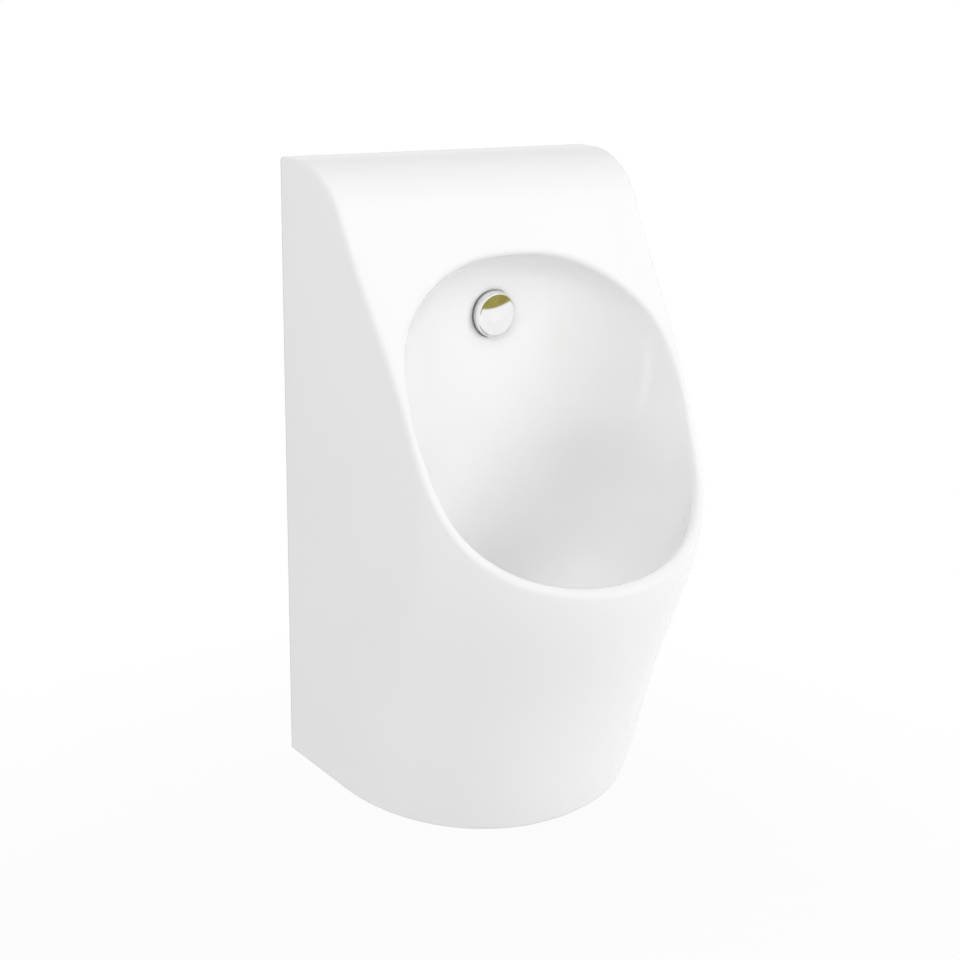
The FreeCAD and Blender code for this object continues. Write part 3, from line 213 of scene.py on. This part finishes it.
# cast and turned brass, dulled in patches
brass = {
    "tones": (colour(0.74, 0.55, 0.27), colour(0.46, 0.32, 0.15)),
    "metallic": 1.0,
    "patch": (55.0, 6.0, 0.6),
    "toneRange": (0.35, 0.75),
    "grain": (1400.0, 3.0),
    "sheenFollows": "patch",
    "sheenRange": (0.3, 0.7),
    "roughness": (0.22, 0.46),
    "bump": (0.25, 0.00008),
}

# drawn steel with fine lines along its length
steel = {
    "tones": (colour(0.62, 0.62, 0.64), colour(0.40, 0.41, 0.43)),
    "metallic": 1.0,
    "patch": (40.0, 4.0),
    "toneRange": (0.35, 0.7),
    "grain": (1800.0, 4.0),
    "drawn": (1.0, 1.0, 0.03),  # the grain's own scale on each axis
    "sheenFollows": "grain",
    "sheenRange": (0.3, 0.7),
    "roughness": (0.26, 0.44),
    "bump": (0.2, 0.00006),
}

# moulded rubber, powdery
rubber = {
    "tones": (colour(0.028, 0.028, 0.03), colour(0.075, 0.075, 0.078)),
    "metallic": 0.0,
    "patch": (120.0, 6.0, 0.65),
    "toneRange": (0.45, 0.8),
    "grain": (2200.0, 2.0),
    "sheenFollows": "patch",
    "sheenRange": (0.3, 0.7),
    "roughness": (0.62, 0.82),
    "bump": (0.3, 0.00008),
}

# moulded plastics: fine spark grain, tone drifts a little over the piece
plastic = {
    "metallic": 0.0,
    "patch": (18.0, 4.0),
    "toneRange": (0.35, 0.65),
    "grain": (1600.0, 2.0),
    "sheenFollows": "grain",
    "sheenRange": (0.3, 0.7),
    "bump": (0.18, 0.00006),
}
whitePlastic = {
    **plastic,
    "tones": (colour(0.80, 0.80, 0.785), colour(0.74, 0.74, 0.72)),
    "roughness": (0.26, 0.36),
}
greyPlastic = {
    **plastic,
    "tones": (colour(0.30, 0.31, 0.325), colour(0.25, 0.26, 0.27)),
    "roughness": (0.42, 0.55),
}
blackPlastic = {
    **plastic,
    "tones": (colour(0.032, 0.032, 0.035), colour(0.05, 0.05, 0.053)),
    "roughness": (0.38, 0.52),
}


def patchySurface(look):
    # the tone drifts from patch to patch, and a finer grain makes the skin

    def makeSurface(start, place):
        drawn = place
        if "drawn" in look:
            drawn = start.add("ShaderNodeMapping", {}, {"Vector": place, "Scale": look["drawn"]})
        patch = start.noise(place, *look["patch"])
        grain = start.noise(drawn, *look["grain"])
        sheen = patch if look["sheenFollows"] == "patch" else grain
        return start.add("ShaderNodeBsdfPrincipled", {}, {
            "Base Color": patch.spread(*look["toneRange"]).blendColours(*look["tones"]),
            "Metallic": look["metallic"],
            "Roughness": sheen.spread(*look["sheenRange"], *look["roughness"]),
            "Normal": bumped(start, grain, *look["bump"]),
        })

    return makeSurface


# zinc plate: small bluish spangles under a little dust
zinc = {
    "tones": (colour(0.66, 0.67, 0.69), colour(0.50, 0.53, 0.58)),
    "spangleScale": 160.0,
    "spangleShare": 0.6,
    "dust": (30.0, 5.0),
    "roughness": (0.32, 0.5),
    "bump": (0.1, 0.0001),
}


def zincSurface(start, place):
    spangle = start.add("ShaderNodeTexVoronoi", {}, {
        "Vector": place, "Scale": zinc["spangleScale"],
    }, out="Color")
    tone = start.add("ShaderNodeRGBToBW", {}, {"Color": spangle})
    dust = start.noise(place, *zinc["dust"])
    mottle = tone * zinc["spangleShare"] + dust * (1.0 - zinc["spangleShare"])
    return start.add("ShaderNodeBsdfPrincipled", {}, {
        "Base Color": mottle.blendColours(*zinc["tones"]),
        "Metallic": 1.0,
        "Roughness": tone.spread(0.0, 1.0, *zinc["roughness"]),
        "Normal": bumped(start, dust, *zinc["bump"]),
    })


# circuit board: green lacquer over copper runs, with pale pads
board = {
    "tones": (colour(0.02, 0.16, 0.07), colour(0.05, 0.30, 0.14)),
    "facing": (math.pi / 2, 0.0, 0.0),  # turns the runs onto the upright board
    "runScale": 110.0,
    "runGap": 0.06,
    "runShift": 0.37,
    "padTone": colour(0.62, 0.60, 0.55),
    "padScale": 260.0,
    "padScatter": 0.55,
    "padSize": 0.16,
    "padMetal": 0.8,
    "smooth": 0.28,
    "runRoughness": 0.12,  # added on the runs
    "bump": (0.3, 0.0001),
}


def boardSurface(start, place):
    upright = start.add("ShaderNodeMapping", {}, {"Vector": place, "Rotation": board["facing"]})
    runs = start.add("ShaderNodeTexBrick", {"offset": board["runShift"]}, {
        "Vector": upright, "Scale": board["runScale"], "Mortar Size": board["runGap"],
    }, out="Fac")
    dots = start.add("ShaderNodeTexVoronoi", {}, {
        "Vector": place, "Scale": board["padScale"], "Randomness": board["padScatter"],
    })
    pads = dots < board["padSize"]
    lacquered = runs.blendColours(*board["tones"])
    return start.add("ShaderNodeBsdfPrincipled", {}, {
        "Base Color": pads.blendColours(lacquered, board["padTone"]),
        "Metallic": pads * board["padMetal"],
        "Roughness": board["smooth"] + board["runRoughness"] * runs,
        "Normal": bumped(start, runs + pads, *board["bump"]),
    })


finishes = {
    "glazed_ceramic": newFinish("glazedCeramic", glazeSurface),
    "chrome": newFinish("polishedChrome", patchySurface(chrome)),
    "brass": newFinish("turnedBrass", patchySurface(brass)),
    "steel": newFinish("drawnSteel", patchySurface(steel)),
    "zinc_steel": newFinish("zincPlate", zincSurface),
    "rubber": newFinish("blackRubber", patchySurface(rubber)),
    "white_plastic": newFinish("whitePlastic", patchySurface(whitePlastic)),
    "grey_plastic": newFinish("greyPlastic", patchySurface(greyPlastic)),
    "black_plastic": newFinish("blackPlastic", patchySurface(blackPlastic)),
    "board": newFinish("circuitBoard", boardSurface),
}
for entry in frame["record"]["subparts"]:
    held = nodes[entry["node"]].data.materials
    held.clear()
    held.append(finishes[entry["material_slot"]])
print("finishes given to", len(nodes), "nodes")

# hanger bolts with their cut threads: fine at the nut's end, coarse and pointed in the wall
wallBolt = {
    "nutThread": {"crest": 0.0040, "core": 0.00345, "pitch": 0.00125, "sharpness": 1},
    "wallThread": {"crest": 0.0050, "core": 0.0036, "pitch": 0.0036, "sharpness": 2},
    "collar": 0.0030,  # plain length where the bolt enters the wall
    "pointLength": 0.009,
    "pointShare": 0.35,
    "sides": 24,
    "stepsInPitch": 6,
    "stepShift": 0.001,  # share of a step, so that each ring lies in one thread only
}


def boltRadius(along, turn, tip):
    # along runs from the wall's face, into the wall where it is above zero
    thread = wallBolt["nutThread" if along < 0.0 else "wallThread"]
    if 0.0 <= along < wallBolt["collar"]:
        return thread["crest"]
    ridge = 1.0 - abs(2.0 * ((along / thread["pitch"] - turn) % 1.0) - 1.0)
    radius = thread["core"] + (thread["crest"] - thread["core"]) * ridge ** thread["sharpness"]
    pointed = max(0.0, (along - tip + wallBolt["pointLength"]) / wallBolt["pointLength"])
    return radius * (1.0 - pointed * (1.0 - wallBolt["pointShare"]))


def boltRings(nutEnd, tip):
    rings = []
    for start, end, kind in ((nutEnd, 0.0, "nutThread"), (0.0, tip, "wallThread")):
        count = math.ceil((end - start) / wallBolt[kind]["pitch"] * wallBolt["stepsInPitch"])
        rings += [start + (end - start) * (k + wallBolt["stepShift"]) / count for k in range(count)]
    return rings + [tip]


def makeBolts():
    low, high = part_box("wall_bolts")
    wide = wallBolt["wallThread"]["crest"]
    sides = wallBolt["sides"]
    rings = boltRings(low[1], high[1])
    spots = [(x, z) for x in (low[0] + wide, high[0] - wide) for z in (low[2] + wide, high[2] - wide)]
    points, faces = [], []
    for across, height in spots:
        first = len(points)
        for along in rings:
            for side in range(sides):
                angle = 2.0 * math.pi * side / sides
                radius = boltRadius(along, side / sides, high[1])
                x, z = across + radius * math.cos(angle), height + radius * math.sin(angle)
                points.append((x, along, z))
        for k in range(len(rings) - 1):
            for side in range(sides):
                here, beside = first + k * sides + side, first + k * sides + (side + 1) % sides
                faces.append((here, here + sides, beside + sides, beside))
        last = first + (len(rings) - 1) * sides
        faces.append(tuple(first + side for side in range(sides)))
        faces.append(tuple(last + side for side in reversed(range(sides))))
    mesh = newMesh("threadedBolts", points, faces, finishes["zinc_steel"])
    mesh.polygons.foreach_set("use_smooth", [len(face) == 4 for face in faces])
    bolts = newObject("threadedBolts", mesh)
    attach(bolts, "body")
    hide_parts("wall_bolts")


makeBolts()
print("bolts threaded")

# camera where the photograph was taken from, angles in degrees, lens and film in millimetres
cameraSpot = {
    "place": Vector((-0.6828, -1.0416, 0.7164)),
    "yaw": 35.257,
    "pitch": 20.234,
    "roll": 2.102,
    "lens": 50.012,
    "film": 36.0,
}


def aimCamera():
    yaw, pitch, roll = (math.radians(cameraSpot[key]) for key in ("yaw", "pitch", "roll"))
    forward = Vector((
        math.sin(yaw) * math.cos(pitch),
        math.cos(yaw) * math.cos(pitch),
        -math.sin(pitch),
    ))
    side = Vector((math.cos(yaw), -math.sin(yaw), 0.0))
    upward = side.cross(forward)
    tiltedSide = side * math.cos(roll) + upward * math.sin(roll)
    tiltedUp = upward * math.cos(roll) - side * math.sin(roll)
    turn = Matrix((tiltedSide, tiltedUp, -forward)).transposed()
    lens = bpy.data.cameras.new("photoCamera")
    lens.sensor_width = cameraSpot["film"]
    lens.lens = cameraSpot["lens"]
    holder = newObject("photoCamera", lens)
    holder.matrix_world = Matrix.Translation(cameraSpot["place"]) @ turn.to_4x4()
    bpy.context.scene.camera = holder


aimCamera()
print("camera placed")

plainWhite = colour(1.0, 1.0, 1.0)


def seenDirectly(start):
    # one for what the camera sees itself, in a mirror or through glass
    camera, mirror, glass = (
        start.add("ShaderNodeLightPath", out="Is %s Ray" % kind)
        for kind in ("Camera", "Glossy", "Transmission")
    )
    return start.maths("MAXIMUM", start.maths("MAXIMUM", camera, mirror), glass)


# pale floor well below the object, with its soft shadow
paleFloor = {
    "place": (0.0, -0.1, -0.395),
    "reach": 6.0,
    "tones": (colour(0.90, 0.90, 0.895), colour(0.88, 0.88, 0.875)),
    "cloud": (2.0, 2.0),
    "cloudRange": (0.3, 0.7),
    "whiteShare": 0.92,  # how much of the plain white shows near the object
    "shadowReach": (0.55, 1.1),  # metres from the object to where the floor is plain white
}


def floorSurface(start, place):
    cloud = start.noise(place, *paleFloor["cloud"]).spread(*paleFloor["cloudRange"])
    painted = start.add("ShaderNodeBsdfDiffuse", {}, {"Color": cloud.blendColours(*paleFloor["tones"])})
    white = start.add("ShaderNodeEmission", {}, {"Color": plainWhite, "Strength": 1.0})
    away = start.add("ShaderNodeVectorMath", {"operation": "LENGTH"}, {0: place}, out="Value")
    plain = away.spread(*paleFloor["shadowReach"], paleFloor["whiteShare"], 1.0)
    return start.add("ShaderNodeMixShader", {}, {0: seenDirectly(start) * plain, 1: painted, 2: white})


def makeFloor():
    reach = paleFloor["reach"]
    corners = [(-reach, -reach, 0), (reach, -reach, 0), (reach, reach, 0), (-reach, reach, 0)]
    finish = newFinish("paleFloor", floorSurface)
    floor = newObject("floor", newMesh("floor", corners, [(0, 1, 2, 3)], finish))
    floor.location = paleFloor["place"]


# white room all round, dimmer as a light than it looks
whiteRoom = {
    "tone": colour(0.985, 0.99, 1.0),
    "light": 0.45,
}


def makeWorld():
    world = bpy.data.worlds.new("whiteRoom")
    bpy.context.scene.world = world
    world.use_nodes = True
    tree = world.node_tree
    tree.nodes.clear()
    start = Socket(tree)
    soft = start.add("ShaderNodeBackground", {}, {
        "Color": whiteRoom["tone"], "Strength": whiteRoom["light"],
    })
    white = start.add("ShaderNodeBackground", {}, {"Color": plainWhite, "Strength": 1.0})
    mixed = start.add("ShaderNodeMixShader", {}, {0: seenDirectly(start), 1: soft, 2: white})
    start.add("ShaderNodeOutputWorld", {}, {"Surface": mixed})


# soft round lamps, all turned to one point of the object
studio = {
    "aim": Vector((0.0, -0.15, 0.3)),
    "lamps": {
        "keyLamp": {"place": (1.7, -2.0, 0.9), "size": 1.4, "watts": 25.5, "mirrored": False},
        "highLamp": {"place": (-1.3, -1.2, 1.7), "size": 1.4, "watts": 14.4, "mirrored": False},
        "sideLamp": {"place": (-2.3, -0.2, 0.6), "size": 1.4, "watts": 4.6, "mirrored": True},
        "topLamp": {"place": (1.0, -1.0, 2.1), "size": 0.5, "watts": 4.0, "mirrored": False},
    },
}


def makeLamps():
    for name, lamp in studio["lamps"].items():
        glow = bpy.data.lights.new(name, "AREA")
        glow.shape = "DISK"
        glow.size = lamp["size"]
        glow.energy = lamp["watts"]
        place = Vector(lamp["place"])
        holder = newObject(name, glow)
        holder.location = place
        holder.rotation_euler = (studio["aim"] - place).to_track_quat("-Z", "Y").to_euler()
        holder.visible_glossy = lamp["mirrored"]


# painted reflection: a glowing warm card, bent round the front and out of view, that only polished faces
# mirror
paintedReflectionCard = {
    "tones": (colour(0.40, 0.365, 0.10), colour(0.31, 0.27, 0.07)),
    "cloud": (1.7, 3.0),
    "cloudRange": (0.35, 0.65),
    "middle": Vector((0.0, -0.09, 0.0)),
    "reach": 2.3,
    "arc": (-16.0, 76.0),  # degrees from straight ahead to the right
    "endFade": 12.0,  # degrees over which its ends pale to the white room
    "topFade": (1.0, 1.5),  # heights over which its top does
    "footFade": 0.06,
    "footHeight": 0.178,
    "straight": 35.6,  # degrees at which its foot has that height
    "rise": 0.0032,  # metres for each degree
    "wave": 0.03,
    "waves": 9.0,
    "lowest": -0.1,
    "steps": 48,
}


# glowing warm colour of the painted reflection, paling to the white room at its ends, top and wavy foot
def paintedReflectionSurface(start, place):
    cloud = start.noise(place, *paintedReflectionCard["cloud"]).spread(*paintedReflectionCard["cloudRange"])
    spot = start.add("ShaderNodeVectorMath", {"operation": "SUBTRACT"}, {0: place, 1: paintedReflectionCard["middle"]})
    turn = start.maths("ARCTAN2", spot.part("X"), spot.part("Y") * -1.0)
    angle = turn * math.degrees(1.0)
    wave = paintedReflectionCard["wave"] * start.maths("SINE", turn * paintedReflectionCard["waves"], 0.0)
    foot = paintedReflectionCard["rise"] * (angle - paintedReflectionCard["straight"]) + wave + paintedReflectionCard["footHeight"]
    height = spot.part("Z")
    first, last = paintedReflectionCard["arc"]
    warmth = angle.spread(first, first + paintedReflectionCard["endFade"])
    warmth = warmth * angle.spread(last, last - paintedReflectionCard["endFade"])
    warmth = warmth * height.spread(*paintedReflectionCard["topFade"], 1.0, 0.0)
    warmth = warmth * (height - foot).spread(0.0, paintedReflectionCard["footFade"])
    warm = cloud.blendColours(*paintedReflectionCard["tones"])
    return start.add("ShaderNodeEmission", {}, {
        "Color": warmth.blendColours(plainWhite, warm),
        "Strength": 1.0,
    })


def makePaintedReflectionCard():
    corners = []
    first, last = paintedReflectionCard["arc"]
    for step in range(paintedReflectionCard["steps"] + 1):
        turn = math.radians(first + (last - first) * step / paintedReflectionCard["steps"])
        spot = paintedReflectionCard["middle"] + paintedReflectionCard["reach"] * Vector((math.sin(turn), -math.cos(turn), 0.0))
        corners.append((spot.x, spot.y, paintedReflectionCard["lowest"]))
        corners.append((spot.x, spot.y, paintedReflectionCard["topFade"][1]))
    faces = [(2 * k, 2 * k + 2, 2 * k + 3, 2 * k + 1) for k in range(paintedReflectionCard["steps"])]
    finish = newFinish("paintedReflectionCard", paintedReflectionSurface)
    wall = newObject("paintedReflectionCard", newMesh("paintedReflectionCard", corners, faces, finish))
    # hidden from the camera, from lit surfaces and from shadows, so that it paints a reflection and
    # nothing else
    wall.visible_camera = False
    wall.visible_diffuse = False
    wall.visible_shadow = False
    wall.visible_transmission = False


makeFloor()
makeWorld()
makeLamps()
makePaintedReflectionCard()
bpy.context.scene.view_settings.view_transform = "Standard"
# the warm wall in this message is the glowing card of painted reflection
print("floor, world, lamps and warm wall placed")
